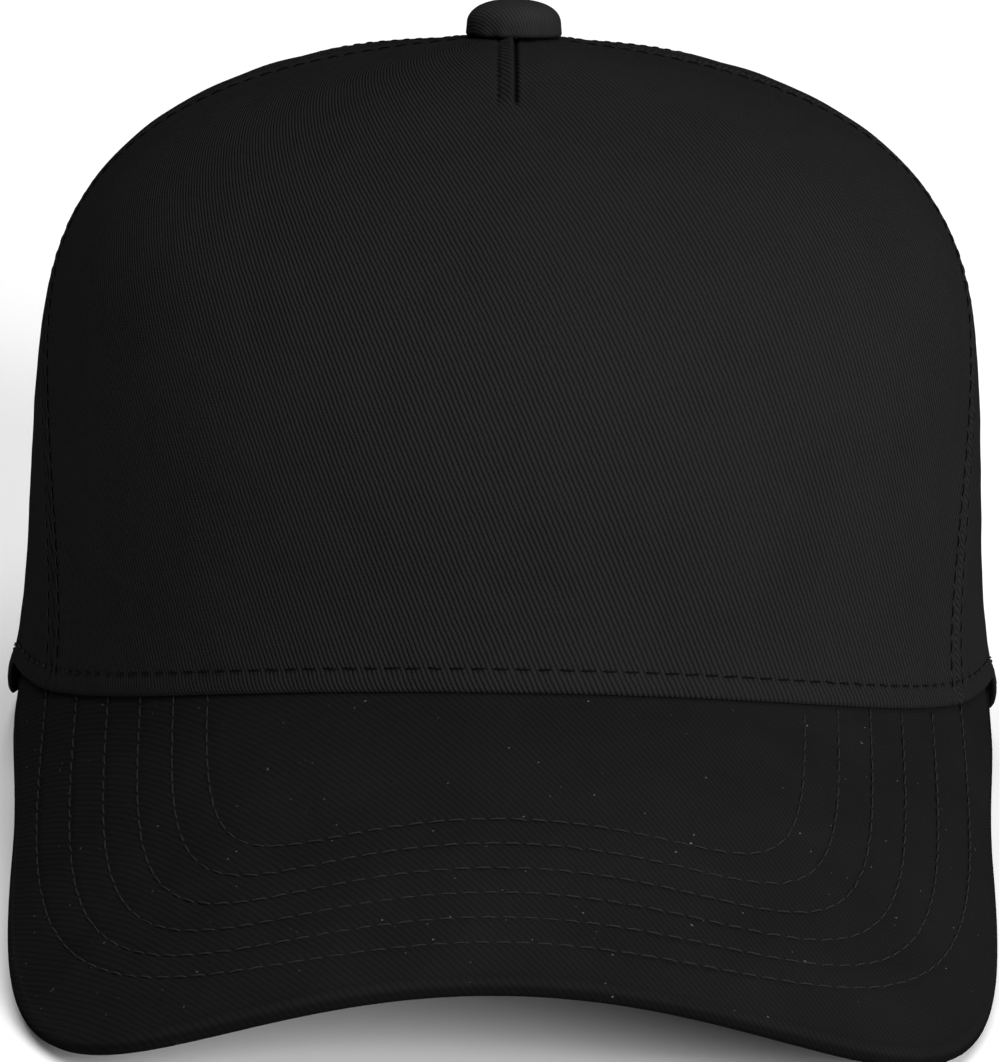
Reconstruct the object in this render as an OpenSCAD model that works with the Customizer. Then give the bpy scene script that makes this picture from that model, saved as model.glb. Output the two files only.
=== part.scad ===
// Five-panel structured baseball cap: curved visor, covered top button, rear snap closure.
// Lengths in millimetres. +Z is up, the front faces -Y, the table is z = 0.

/* [Crown] */
// Half the width of the crown at the rim
rim_half_width = 85; // [82:0.5:88]
// Half the length of the crown at the rim
rim_half_length = 95; // [92:0.5:99]
// Height of the crown's top, under the button, above the table
crown_height = 126.2; // [120:0.2:132]
// How far the wall flares out towards the rim
rim_flare = 2.6; // [1:0.1:3]
// Squareness of the front profile
front_squareness = 4.22; // [3.5:0.02:5.2]
// Squareness of the side profile
side_squareness = 7.65; // [5.5:0.05:8.5]
// Squareness of the back profile
back_squareness = 2.6; // [2.3:0.1:3.6]
// Roundness of the shoulder above the sides
shoulder = 1.61; // [1.5:0.01:2]
// Rise of the top in front of the button, which tips the button back
top_rise = 25.8; // [20:0.2:28]
// Thickness of the panel cloth
cloth_t = 0.8; // [0.5:0.05:0.9]

/* [Visor] */
// Height of the middle of the visor seam above the table
seam_height = 45.9; // [44:0.1:50]
// Rise of the visor towards the crown, in mm per mm
visor_slope = 0.446; // [0.38:0.002:0.46]
// Sideways droop of the visor at the seam, per mm
visor_droop = 0.00589; // [0.0054:0.00001:0.0062]
// Half the width of the visor
visor_half_width = 82.75; // [82:0.25:85]
// Reach of the visor in front of its tips
visor_reach = 120.8; // [112:0.2:126]
// Squareness of the visor's outline
visor_squareness = 5.4; // [3.4:0.02:5.6]
// Whole thickness of the visor
visor_t = 2.8; // [2.4:0.1:3.2]

/* [Rear opening] */
// Half the angle the rear opening takes out of the rim
arch_half_angle = 30.4; // [27:0.2:32]
// Height of the rear opening as a share of the way up the panels
arch_top = 0.205; // [0.17:0.005:0.23]
// Height of the snap straps
strap_h = 16; // [13:0.5:18]
// Thickness of each snap strap
strap_t = 1.2; // [1:0.05:1.4]
// Angle between neighbouring studs along the strap
stud_pitch = 4.5; // [4.3:0.05:4.7]
// Radius of a stud
stud_r = 1.95; // [1.6:0.05:2]
// Radius of a hole in the strap
hole_r = 2.55; // [2.5:0.05:2.8]

/* [Button and eyelets] */
// Radius of the covered top button
button_r = 8.2; // [7.4:0.1:9]
// Height of the covered top button
button_h = 6.6; // [5.6:0.1:7.6]
// Radius of the air hole in an eyelet
eyelet_hole_r = 1.9; // [1.5:0.1:2.2]

/* [Hidden] */

$fn = 64;
y_shift = 36.136;
rim_y = -2;
apex_y = 5.8;
visor_angle = 77;
drop_angle = 11.8;
tip_angle = 75;
visor_spread = 0.03;
tip_y = -37;
visor_tuck = 1.1;
droop_gain = 0.000033;
taper = [0.05, 0.067, 0.16];
flare_fade = 8;
end_s = 0.981;
low_rows = 8;
high_rows = 20;
all_rows = low_rows + high_rows;
front_cols = 20;
panel_cols = 9;

// depths of the hidden layers, measured inwards from the outer face of the panels
buckram_d = [cloth_t, cloth_t + 0.7];
tape_d = [1.85, 2.4];
tab_d = [1.6, 2.5];
foam_d = [2.95, 3.5];
band_d = [3.8, 4.4];
tape_half = 6;

// ---- shape functions ----
function wrap(a) = a > 180 ? a - 360 : (a < -180 ? a + 360 : a);
function mix3(th, f, s, b) = let (c = cos(th)) s + ((c > 0 ? f : b) - s) * c * c;
function visor_z(x, y) = seam_height + visor_slope * (y + 100)
    - (visor_droop + droop_gain * (y + 100)) * x * x;
flared = 1 + rim_flare / rim_half_width;
seam_scale = flared - visor_tuck / rim_half_width;
function rim_x_at(th) = rim_half_width * sin(th);
function rim_y_at(th) = rim_y - rim_half_length * cos(th);
function rim_z_at(th) =
    let (
        a = abs(wrap(th)),
        h = max(0, a - visor_angle) / drop_angle,
        b = min(a, visor_angle)
    )
    visor_z(seam_scale * rim_x_at(b), apex_y + seam_scale * (rim_y_at(b) - apex_y))
    * exp(-pow(h, 1.6));

// a point of the crown's outer face: th goes round from the front, s from rim 0 to top 1
function skin(th, s) =
    let (
        e = s * (2 - s),
        n = mix3(th, front_squareness, side_squareness, back_squareness),
        tp = mix3(th, taper[0], taper[1], taper[2]),
        rho = pow(max(0, 1 - pow(e, n)), 1 / mix3(th, 2, shoulder, 2)),
        z0 = rim_z_at(th),
        h = crown_height - z0,
        t = (1 - tp * e) + (flared - 1) * exp(-e * h / flare_fade),
        k = rho * t
    )
    [
        k * rim_x_at(th),
        apex_y + k * (rim_y_at(th) - apex_y),
        z0 + h * e + top_rise * rho * pow(1 - rho, 2) * cos(th)
    ];
function unit(v) = v / norm(v);
function skin_out(th, s) =
    let (
        a = skin(th + 0.5, s) - skin(th - 0.5, s),
        b = skin(th, s + 0.004) - skin(th, max(0, s - 0.004)),
        n = unit(cross(a, b)),
        up = min(1, s / 0.06)
    )
    unit([n[0], n[1], n[2] * up]);
function layer(th, s, d) = skin(th, s) - d * skin_out(th, s);

function row_s(i) = i <= low_rows
    ? arch_top * sin(90 * i / low_rows)
    : arch_top + (end_s - arch_top) * (i - low_rows) / high_rows;
function s_at_height(th, h) = 1 - sqrt(1 - h / (crown_height - rim_z_at(th)));
function front_seam(s) = 62.75 + s * (29.7 + s * (56.3 - s * (42 + 8.4 * s)));
function back_seam(s) = 125 + 10 * s;
function arch_edge(s) = s >= arch_top
    ? 180
    : 180 - arch_half_angle * pow(max(0, 1 - pow(s / arch_top, 2.2)), 1 / 2.2);
function half_tape(th, s) =
    let (p = skin(th, s))
    tape_half / norm([p[0], p[1] - apex_y]) * 180 / PI;

function visor_seam(u) =
    let (k = seam_scale)
    [k * rim_x_at(u * tip_angle), apex_y + k * (rim_y_at(u * tip_angle) - apex_y)];
function visor_edge(u, inset) =
    let (
        a = u * 90,
        w = visor_half_width - inset,
        l = visor_reach - inset,
        r = pow(pow(abs(sin(a)) / w, visor_squareness) + pow(abs(cos(a)) / l, visor_squareness),
            -1 / visor_squareness),
        t = max(0, (abs(a) - 60) / 30)
    )
    [r * sin(a) * (1 + visor_spread * t * t * (3 - 2 * t)), tip_y - r * cos(a)];
function visor_pt(u, v, inset, d) =
    let (
        a = visor_seam(u),
        b = visor_edge(u, inset),
        round_tip = sqrt(1 - 0.94 * pow(max(0, abs(u) - 0.94) / 0.06, 2)),
        p = a + (b - a) * v * round_tip,
        zx = -2 * (visor_droop + droop_gain * (p[1] + 100)) * p[0],
        zy = visor_slope - droop_gain * p[0] * p[0]
    )
    [p[0], p[1], visor_z(p[0], p[1])] - d * unit([-zx, -zy, 1]);

// ---- building helpers ----
// closes two point grids of the same size into one solid
module slab(outer, inner) {
    nr = len(outer);
    nc = len(outer[0]);
    function id(i, j, k) = (k * nr + i) * nc + j;
    function face2(p, q, r, s) = [[p, q, r], [p, r, s]];
    pts = [for (g = [outer, inner]) for (r = g) for (p = r) p];
    skins = [
        for (i = [0:nr - 2])
            for (j = [0:nc - 2])
                for (f = concat(
                    face2(id(i, j, 0), id(i + 1, j, 0), id(i + 1, j + 1, 0), id(i, j + 1, 0)),
                    face2(id(i, j, 1), id(i, j + 1, 1), id(i + 1, j + 1, 1), id(i + 1, j, 1))
                )) f
    ];
    ring = concat(
        [for (j = [0:nc - 2]) [0, j]],
        [for (i = [0:nr - 2]) [i, nc - 1]],
        [for (j = [nc - 1:-1:1]) [nr - 1, j]],
        [for (i = [nr - 1:-1:1]) [i, 0]]
    );
    edges = [
        for (k = [0:len(ring) - 1])
            let (p = ring[k], q = ring[(k + 1) % len(ring)])
            for (f = face2(
                id(q[0], q[1], 1), id(p[0], p[1], 1), id(p[0], p[1], 0), id(q[0], q[1], 0)
            )) f
    ];
    polyhedron(points = pts, faces = concat(skins, edges), convexity = 6);
}

module crown_patch(rows, cols, lo, hi, d) {
    g = [
        for (k = [0:1]) [
            for (i = rows)
                let (s = row_s(i), a = lo(s), b = hi(s))
                [for (j = [0:cols]) layer(a + (b - a) * j / cols, s, d[k])]
        ]
    ];
    slab(g[0], g[1]);
}

module rim_strip(a0, a1, cols, h0, h1, rows, d) {
    g = [
        for (k = [0:1]) [
            for (i = [0:rows]) [
                for (j = [0:cols])
                    let (th = a0 + (a1 - a0) * j / cols)
                    layer(th, s_at_height(th, h0 + (h1 - h0) * i / rows), d[k])
            ]
        ]
    ];
    slab(g[0], g[1]);
}

module visor_layer(d, inset, first) {
    g = [
        for (k = [0:1]) [
            for (i = [0:6]) [
                for (j = [-20:20]) visor_pt(j / 20, first + (1 - first) * (6 - i) / 6, inset, d[k])
            ]
        ]
    ];
    slab(g[0], g[1]);
}

module placed() {
    translate([0, y_shift, 0]) children();
}

// ---- eyelet seats: the middle of one cell of a panel's grid ----
eyelet_row = 14;
function cell(lo, hi) = [
    for (i = [0:1])
        for (j = [0:1])
            let (s = row_s(eyelet_row + i), a = lo(s), b = hi(s))
            layer(a + (b - a) * (4 + j) / panel_cols, s, 0)
];
function cell_mid(c) = (c[0] + c[1] + c[2] + c[3]) / 4;
function cell_out(c) = unit(cross(c[1] - c[2], c[3] - c[0]));

module at_cell(c) {
    n = cell_out(c);
    translate(cell_mid(c)) rotate([0, acos(n[2]), atan2(n[1], n[0])]) children();
}

side_lo = function (s) front_seam(s);
side_hi = function (s) back_seam(s);
rear_hi = function (s) arch_edge(s);

module eyelet() {
    rotate_extrude()
        polygon([
            [eyelet_hole_r, -1.85],
            [4.6, -1.85],
            [4.6, -1.4],
            [3.15, -1.4],
            [3.15, 0.4],
            [4.6, 0.4],
            [4.6, 0.85],
            [eyelet_hole_r, 0.85]
        ]);
}

// ---- crown ----
module front_panel() {
    color([0.06, 0.06, 0.065])
        placed()
            crown_patch([0:all_rows], front_cols, function (s) -front_seam(s), side_lo, [0, cloth_t]);
}

module front_buckram() {
    color([0.85, 0.84, 0.8])
        placed()
            crown_patch([1:all_rows - 3], front_cols, function (s) -front_seam(s), side_lo, buckram_d);
}

module side_panel() {
    difference() {
        crown_patch([0:all_rows], panel_cols, side_lo, side_hi, [0, cloth_t]);
        at_cell(cell(side_lo, side_hi)) translate([0, 0, -4]) cylinder(h = 8, r = 3.25);
    }
}

module side_panel_right() {
    color([0.06, 0.06, 0.065]) placed() side_panel();
}

module side_panel_left() {
    color([0.06, 0.06, 0.065]) placed() mirror([1, 0, 0]) side_panel();
}

module back_panel() {
    difference() {
        crown_patch([0:all_rows], panel_cols, side_hi, rear_hi, [0, cloth_t]);
        at_cell(cell(side_hi, rear_hi)) translate([0, 0, -4]) cylinder(h = 8, r = 3.25);
    }
}

module back_panel_right() {
    color([0.06, 0.06, 0.065]) placed() back_panel();
}

module back_panel_left() {
    color([0.06, 0.06, 0.065]) placed() mirror([1, 0, 0]) back_panel();
}

module seam_tape(seam, rows) {
    crown_patch(rows, 2,
        function (s) seam(s) - half_tape(seam(s), s),
        function (s) seam(s) + half_tape(seam(s), s), tape_d);
}

module seam_tape_front_right() {
    color([0.12, 0.12, 0.13]) placed() seam_tape(side_lo, [1:all_rows - 2]);
}

module seam_tape_front_left() {
    color([0.12, 0.12, 0.13]) placed() mirror([1, 0, 0]) seam_tape(side_lo, [1:all_rows - 2]);
}

module seam_tape_back_right() {
    color([0.12, 0.12, 0.13]) placed() seam_tape(side_hi, [1:all_rows - 3]);
}

module seam_tape_back_left() {
    color([0.12, 0.12, 0.13]) placed() mirror([1, 0, 0]) seam_tape(side_hi, [1:all_rows - 3]);
}

module seam_tape_center_back() {
    color([0.12, 0.12, 0.13])
        placed() seam_tape(function (s) 180, [low_rows + 1:all_rows - 5]);
}

// binding folded round the edge of the rear opening
module arch_binding() {
    profile = [
        [-0.5, -0.65], [6.5, -0.65], [6.5, -0.18], [-0.08, -0.18],
        [-0.08, 0.95], [6.5, 0.95], [6.5, 1.42], [-0.5, 1.42]
    ];
    side = [for (i = [0:low_rows]) [arch_edge(row_s(i)), row_s(i)]];
    path = concat(
        side,
        [for (i = [low_rows - 1:-1:0]) [360 - side[i][0], side[i][1]]]
    );
    last = len(path) - 1;
    function ring(k) =
        let (
            p = path[k],
            f = path[min(last, k + 1)] - path[max(0, k - 1)],
            at = skin(p[0] + 0.5, p[1]) - skin(p[0] - 0.5, p[1]),
            as = (skin(p[0], p[1] + 0.004) - skin(p[0], max(0, p[1] - 0.004)))
                / (p[1] < 0.004 ? 0.004 : 0.008),
            t = unit([f[0] * norm(at), f[1] * norm(as)]),
            g = p[1] < 0.004 ? [k == 0 ? -1 : 1, 0] : [-t[1], t[0]]
        )
        [
            for (q = profile)
                layer(p[0] + q[0] * g[0] / norm(at), max(0, p[1] + q[0] * g[1] / norm(as)), q[1])
        ];
    rings = [for (k = [0:last]) ring(k)];
    m = len(profile);
    walls = [
        for (k = [0:last - 1])
            for (j = [0:m - 1])
                let (a = k * m + j, b = k * m + (j + 1) % m, c = b + m, d = a + m)
                for (f = [[a, b, c], [a, c, d]]) f
    ];
    function cap(o) = [
        [o, o + 1, o + 2], [o, o + 2, o + 3], [o, o + 3, o + 7],
        [o + 3, o + 4, o + 7], [o + 4, o + 5, o + 7], [o + 5, o + 6, o + 7]
    ];
    ends = concat(
        [for (f = cap(0)) [f[2], f[1], f[0]]],
        cap(last * m)
    );
    color([0.05, 0.05, 0.055])
        placed()
            polyhedron(points = [for (r = rings) for (p = r) p], faces = concat(walls, ends), convexity = 8);
}

module sweatband() {
    color([0.07, 0.07, 0.075])
        placed() rim_strip(-146, 146, 48, 1.6, 32, 4, band_d);
}

module sweatband_foam() {
    color([0.8, 0.8, 0.78])
        placed() rim_strip(-145, 145, 48, 3, 30, 4, foam_d);
}

// ---- visor ----
module visor_top_cover() {
    color([0.06, 0.06, 0.065]) placed() visor_layer([0, 0.65], 0, 0);
}

module visor_board() {
    color([0.88, 0.88, 0.86]) placed() visor_layer([0.7, visor_t - 0.7], 0.9, 0.05);
}

module visor_bottom_cover() {
    color([0.06, 0.06, 0.065]) placed() visor_layer([visor_t - 0.65, visor_t], 0, 0);
}

// ---- top button, built upright and then tipped back with the crown's top ----
tip_back = atan(top_rise / ((1 - taper[0]) * (rim_half_length + apex_y - rim_y)));

module at_top() {
    placed() translate([0, apex_y, crown_height]) rotate([-tip_back, 0, 0]) children();
}

module button_profile(r, h) {
    side = h * 0.45;
    polygon(concat(
        [[0, 0], [r, 0], [r, side]],
        [for (a = [10:10:80]) [r * pow(cos(a), 0.75), side + (h - side) * pow(sin(a), 0.9)]],
        [[0, h]]
    ));
}

module button_cover() {
    color([0.06, 0.06, 0.065])
        at_top()
            translate([0, 0, 0.2])
                difference() {
                    rotate_extrude() button_profile(button_r, button_h - 0.2);
                    translate([0, 0, -0.5])
                        rotate_extrude() button_profile(button_r - 0.8, button_h - 0.5);
                }
}

module button_shell() {
    color([0.62, 0.62, 0.6])
        at_top()
            translate([0, 0, 0.25])
                difference() {
                    rotate_extrude() button_profile(button_r - 0.85, button_h - 1.3);
                    translate([0, 0, -0.5])
                        rotate_extrude() button_profile(button_r - 1.5, button_h - 1.4);
                }
}

module button_post() {
    color([0.7, 0.7, 0.68])
        at_top()
            union() {
                translate([0, 0, -3.6]) cylinder(h = 6.4, r = 1.8);
                translate([0, 0, 2.2]) cylinder(h = 0.9, r = 4);
                translate([0, 0, -3.6]) cylinder(h = 0.7, r = 3);
            }
}

module button_back() {
    color([0.7, 0.7, 0.68])
        at_top()
            difference() {
                translate([0, 0, -2.8]) cylinder(h = 0.8, r = 8);
                translate([0, 0, -4]) cylinder(h = 4, r = 1.9);
            }
}

// ---- eyelets ----
module eyelet_side_right() {
    color([0.08, 0.08, 0.085]) placed() at_cell(cell(side_lo, side_hi)) eyelet();
}

module eyelet_side_left() {
    color([0.08, 0.08, 0.085])
        placed() mirror([1, 0, 0]) at_cell(cell(side_lo, side_hi)) eyelet();
}

module eyelet_back_right() {
    color([0.08, 0.08, 0.085]) placed() at_cell(cell(side_hi, rear_hi)) eyelet();
}

module eyelet_back_left() {
    color([0.08, 0.08, 0.085])
        placed() mirror([1, 0, 0]) at_cell(cell(side_hi, rear_hi)) eyelet();
}

// ---- rear snap closure ----
strap_z = 1.4;
strap_r = 120;
root_x = rim_half_width * sin(arch_half_angle) - 3.2;
root_angle = asin(root_x / strap_r);
root_y = layer(180 - arch_half_angle - 1.5, 0.03, 2.05)[1] - 1.1;
arc_y = root_y - strap_r * cos(root_angle);
socket_r = [strap_r + 0.1, strap_r + 0.1 + strap_t];
stud_strap_r = [strap_r - 0.3 - strap_t, strap_r - 0.3];
first_stud = -1.5 * stud_pitch;
tip_reach = 1.5 * stud_pitch + 3.3;

module strap_tab(cols) {
    rim_strip(136, 180 - arch_half_angle - 0.6, cols, strap_z, strap_z + strap_h, 3, tab_d);
}

module strap_tab_right() {
    color([0.05, 0.05, 0.05]) placed() strap_tab(6);
}

module strap_tab_left() {
    color([0.05, 0.05, 0.05]) placed() mirror([1, 0, 0]) strap_tab(6);
}

// a curved bar from its root at the right-hand side to a rounded tip, angles from +Y
module strap_bar(rr) {
    tip_x = -strap_r * sin(tip_reach);
    intersection() {
        translate([0, arc_y, strap_z])
            rotate([0, 0, 90 - root_angle])
                rotate_extrude(angle = root_angle + tip_reach + 2)
                    translate([rr[0], 0]) square([rr[1] - rr[0], strap_h]);
        translate([0, 200, strap_z + strap_h / 2])
            rotate([90, 0, 0])
                linear_extrude(height = 200)
                    union() {
                        translate([tip_x + strap_h / 2, -strap_h / 2]) square([90, strap_h]);
                        translate([tip_x + strap_h / 2, 0]) circle(r = strap_h / 2);
                    }
    }
}

module at_stud(k) {
    a = first_stud + stud_pitch * k;
    translate([0, arc_y, strap_z + strap_h / 2])
        rotate([0, 0, -a])
            translate([0, strap_r, 0])
                rotate([-90, 0, 0])
                    children();
}

module snap_strap_socket() {
    color([0.05, 0.05, 0.05])
        placed()
            mirror([1, 0, 0])
                difference() {
                    strap_bar(socket_r);
                    for (k = [0:5]) at_stud(k) translate([0, 0, -3]) cylinder(h = 8, r = hole_r);
                }
}

module snap_strap_stud() {
    color([0.05, 0.05, 0.05])
        placed()
            union() {
                strap_bar(stud_strap_r);
                for (k = [0:5]) {
                    at_stud(k) translate([0, 0, -0.9]) cylinder(h = 2.3, r = stud_r);
                    at_stud(k) translate([0, 0, 1.4]) cylinder(h = 0.6, r1 = stud_r, r2 = stud_r - 0.5);
                }
            }
}

front_panel();
front_buckram();
side_panel_left();
side_panel_right();
back_panel_left();
back_panel_right();
seam_tape_front_left();
seam_tape_front_right();
seam_tape_back_left();
seam_tape_back_right();
seam_tape_center_back();
arch_binding();
sweatband();
sweatband_foam();
visor_top_cover();
visor_board();
visor_bottom_cover();
button_cover();
button_shell();
button_post();
button_back();
eyelet_side_left();
eyelet_side_right();
eyelet_back_left();
eyelet_back_right();
strap_tab_left();
strap_tab_right();
snap_strap_socket();
snap_strap_stud();
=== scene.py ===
"""Black five-panel baseball cap: the looks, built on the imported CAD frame.

Lengths are in millimetres in the frame's axes until a mesh is made: +X right, +Y to the back, +Z up.
The crown is one surface, skin(th, s): th goes round from the front in degrees, s from rim 0 to top 1.
Every layer of cloth is a grid on that surface, pushed in or out along its normal.
"""

import math

import bpy
import numpy as np
from mathutils import Matrix, Vector
from mathutils.geometry import delaunay_2d_cdt


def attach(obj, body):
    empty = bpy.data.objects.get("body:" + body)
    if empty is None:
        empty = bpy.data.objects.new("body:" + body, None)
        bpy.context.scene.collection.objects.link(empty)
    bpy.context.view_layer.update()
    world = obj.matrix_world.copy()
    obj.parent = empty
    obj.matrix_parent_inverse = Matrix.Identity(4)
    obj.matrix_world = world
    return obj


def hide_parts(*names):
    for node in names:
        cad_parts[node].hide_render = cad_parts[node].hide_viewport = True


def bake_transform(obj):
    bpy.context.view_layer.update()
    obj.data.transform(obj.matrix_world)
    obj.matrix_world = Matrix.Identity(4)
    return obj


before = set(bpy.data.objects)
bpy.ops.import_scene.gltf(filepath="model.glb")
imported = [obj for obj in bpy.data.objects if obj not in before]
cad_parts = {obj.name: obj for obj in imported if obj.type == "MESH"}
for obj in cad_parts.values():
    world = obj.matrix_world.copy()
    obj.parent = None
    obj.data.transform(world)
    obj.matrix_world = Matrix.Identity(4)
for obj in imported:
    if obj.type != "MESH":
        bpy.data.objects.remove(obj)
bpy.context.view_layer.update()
BODY = "cap"
MM = 0.001

# ---------------------------------------------------------------- sizes shared with part.scad
RIM_W, RIM_L, RIM_Y, APEX_Y, TOP_Z = 85.0, 95.0, -2.0, 5.8, 126.2
FLARE, FADE, RISE = 2.6, 8.0, 25.8
SQUARE = (4.22, 7.65, 2.6)
SHOULDER = (2.0, 1.61, 2.0)
TAPER = (0.05, 0.067, 0.16)
SEAM_Z, SLOPE, DROOP, DROOP_GAIN = 45.9, 0.446, 0.00589, 0.000033
VISOR_W, VISOR_L, VISOR_P, VISOR_T, VISOR_TUCK = 82.75, 120.8, 5.4, 2.8, 1.1
VISOR_SPREAD, TIP_ROUND = 0.03, 0.06
VISOR_ANGLE, DROP_ANGLE, TIP_ANGLE, TIP_Y = 77.0, 11.8, 75.0, -37.0
ARCH_ANGLE, ARCH_TOP, END_S = 30.4, 0.205, 0.981
Y_SHIFT = 36.136
FLARED = 1 + FLARE / RIM_W
SEAM_SCALE = FLARED - VISOR_TUCK / RIM_W
CLOTH_T = 0.8
STRAP_R, STRAP_H, STRAP_T, STRAP_Z = 120.0, 16.0, 1.2, 1.4
STUD_PITCH, HOLE_R = 4.5, 2.55
BUTTON_R, BUTTON_H = 8.2, 6.6

# ---------------------------------------------------------------- sewing
FLOAT_LONG = 0.52  # one float of the twill's cords
SEAM_STITCH = 2.8  # a topstitch row runs this far each side of a seam
SEAM_PITCH = 3.0
HEM_STITCH = 3.8
HEM_PITCH = 3.6
VISOR_ROWS = 6
VISOR_PITCH = 3.3
FLOOR_GAP = 0.2  # the lowest line of a sheet, whose thickness reaches below it


# ---------------------------------------------------------------- the crown's surface
def sind(a):
    return np.sin(np.radians(a))


def cosd(a):
    return np.cos(np.radians(a))


def smooth(a, b, x):
    t = np.clip((x - a) / (b - a), 0, 1)
    return t * t * (3 - 2 * t)


def mix3(th, f, s, b):
    c = cosd(th)
    return s + (np.where(c > 0, f, b) - s) * c * c


def visor_z(x, y):
    return SEAM_Z + SLOPE * (y + 100) - (DROOP + DROOP_GAIN * (y + 100)) * x * x


def rim_xy(th):
    return RIM_W * sind(th), RIM_Y - RIM_L * cosd(th)


def rim_z(th):
    a = np.abs((np.asarray(th, float) + 180) % 360 - 180)
    h = np.maximum(0, a - VISOR_ANGLE) / DROP_ANGLE
    x, y = rim_xy(np.minimum(a, VISOR_ANGLE))
    z = visor_z(SEAM_SCALE * x, APEX_Y + SEAM_SCALE * (y - APEX_Y))
    return z * np.exp(-(h**1.6))


def skin(th, s):
    th, s = np.broadcast_arrays(np.asarray(th, float), np.asarray(s, float))
    e = s * (2 - s)
    rho = np.maximum(0, 1 - e ** mix3(th, *SQUARE)) ** (1 / mix3(th, *SHOULDER))
    z0 = rim_z(th)
    h = TOP_Z - z0
    k = rho * ((1 - mix3(th, *TAPER) * e) + (FLARED - 1) * np.exp(-e * h / FADE))
    x, y = rim_xy(th)
    z = z0 + h * e + RISE * rho * (1 - rho) ** 2 * cosd(th)
    return np.stack([k * x, APEX_Y + k * (y - APEX_Y), z], -1)


def unit(v):
    return v / np.maximum(np.linalg.norm(v, axis=-1, keepdims=True), 1e-9)


def skin_out(th, s):
    th, s = np.broadcast_arrays(np.asarray(th, float), np.asarray(s, float))
    a = skin(th + 0.5, s) - skin(th - 0.5, s)
    b = skin(th, s + 0.004) - skin(th, np.maximum(0, s - 0.004))
    n = unit(np.cross(a, b))
    n[..., 2] *= np.minimum(1, s / 0.06)
    return unit(n)


def layer(th, s, depth=0.0):
    return skin(th, s) - np.asarray(depth)[..., None] * skin_out(th, s)


def front_seam(s):
    return 62.75 + s * (29.7 + s * (56.3 - s * (42 + 8.4 * s)))


def back_seam(s):
    return 125 + 10 * s


def arch_edge(s):
    s = np.asarray(s, float)
    low = 180 - ARCH_ANGLE * np.maximum(0, 1 - np.minimum(s / ARCH_TOP, 1) ** 2.2) ** (1 / 2.2)
    return np.where(s >= ARCH_TOP, 180.0, low)


def s_at_height(th, h):
    return 1 - np.sqrt(1 - np.asarray(h) / (TOP_Z - rim_z(th)))


def waves(p, seed, length, count=9):
    """Smooth wandering numbers from about -1 to 1, the same wherever two pieces meet."""
    rng = np.random.default_rng(seed)
    k = unit(rng.normal(size=(count, 3))) * (2 * np.pi / length)
    k *= rng.uniform(0.6, 1.5, (count, 1))
    return np.cos(p @ k.T + rng.uniform(0, 2 * np.pi, count)).sum(-1) / math.sqrt(count)


def along(p, axis):
    """Length along a grid of points from its first row or column."""
    step = np.linalg.norm(np.diff(p, axis=axis), axis=-1)
    pad = [(0, 0), (0, 0)]
    pad[axis] = (1, 0)
    return np.pad(np.cumsum(step, axis=axis), pad)


# ---------------------------------------------------------------- meshes
def add_object(name, data):
    obj = bpy.data.objects.new(name, data)
    bpy.context.scene.collection.objects.link(obj)
    return obj


def grid_faces(rows, cols, closed=False, looped=False):
    """Quads of a grid; closed joins its last column to the first, looped its last row."""
    i, j = np.indices((rows if looped else rows - 1, cols if closed else cols - 1))
    a, b = i * cols + j, i * cols + (j + 1) % cols
    up = ((i + 1) % rows - i) * cols
    return np.stack([a, b, b + up, a + up], -1).reshape(-1, 4)


def piece(name, points, faces, material, uv=None, body=BODY, replaces=()):
    """A mesh from points in millimetres; uv is millimetres of cloth, kept as decimetres."""
    points = np.asarray(points, float).reshape(-1, 3) + [0, Y_SHIFT, 0]
    faces = [tuple(int(v) for v in f) for f in faces]
    mesh = bpy.data.meshes.new(name)
    mesh.from_pydata((points * MM).tolist(), [], faces)
    if uv is not None:
        uv = np.asarray(uv, float).reshape(-1, 2) / 100
        index = np.zeros(len(mesh.loops), np.int32)
        mesh.loops.foreach_get("vertex_index", index)
        mesh.uv_layers.new(name="UVMap").data.foreach_set("uv", uv[index].ravel())
    mesh.update()
    mesh.shade_smooth()
    mesh.materials.append(material)
    obj = add_object(name, mesh)
    if body:
        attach(obj, body)
    if replaces:
        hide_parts(*replaces)
    return obj


def thicken(obj, thickness):
    m = obj.modifiers.new("cloth", "SOLIDIFY")
    m.thickness = thickness * MM
    m.offset = -1.0
    m.use_even_offset = False
    return obj


def set_painted_shade(obj, values):
    """Stores how deep in a fold or under a rolled edge each vertex is, from 0 to 1, as painted shade that
    darkens the material's colour.
    """
    edge = obj.data.attributes.new("edge", "FLOAT", "POINT")
    edge.data.foreach_set("value", np.asarray(values, float).ravel())


def sheet_area(grid):
    a, b = grid[1:, :-1] - grid[:-1, :-1], grid[:-1, 1:] - grid[:-1, :-1]
    c, d = grid[:-1, 1:] - grid[1:, 1:], grid[1:, :-1] - grid[1:, 1:]
    return float(
        np.linalg.norm(np.cross(a, b), axis=-1).sum() + np.linalg.norm(np.cross(c, d), axis=-1).sum()
    ) / 2e6


def cloth_sheet(obj, grid):
    """Works out the sheet's area in square metres, which nothing uses, and returns the object."""
    area = sheet_area(grid)
    return obj


def resample(points, normals, step):
    """Evenly spaced places along a run of points, with the normal there."""
    seg = np.linalg.norm(np.diff(points, axis=0), axis=1)
    length = np.concatenate([[0], np.cumsum(seg)])
    at = np.arange(0.0, length[-1], step)
    p = np.stack([np.interp(at, length, points[:, k]) for k in range(3)], -1)
    n = unit(np.stack([np.interp(at, length, normals[:, k]) for k in range(3)], -1))
    return p, n


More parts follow.
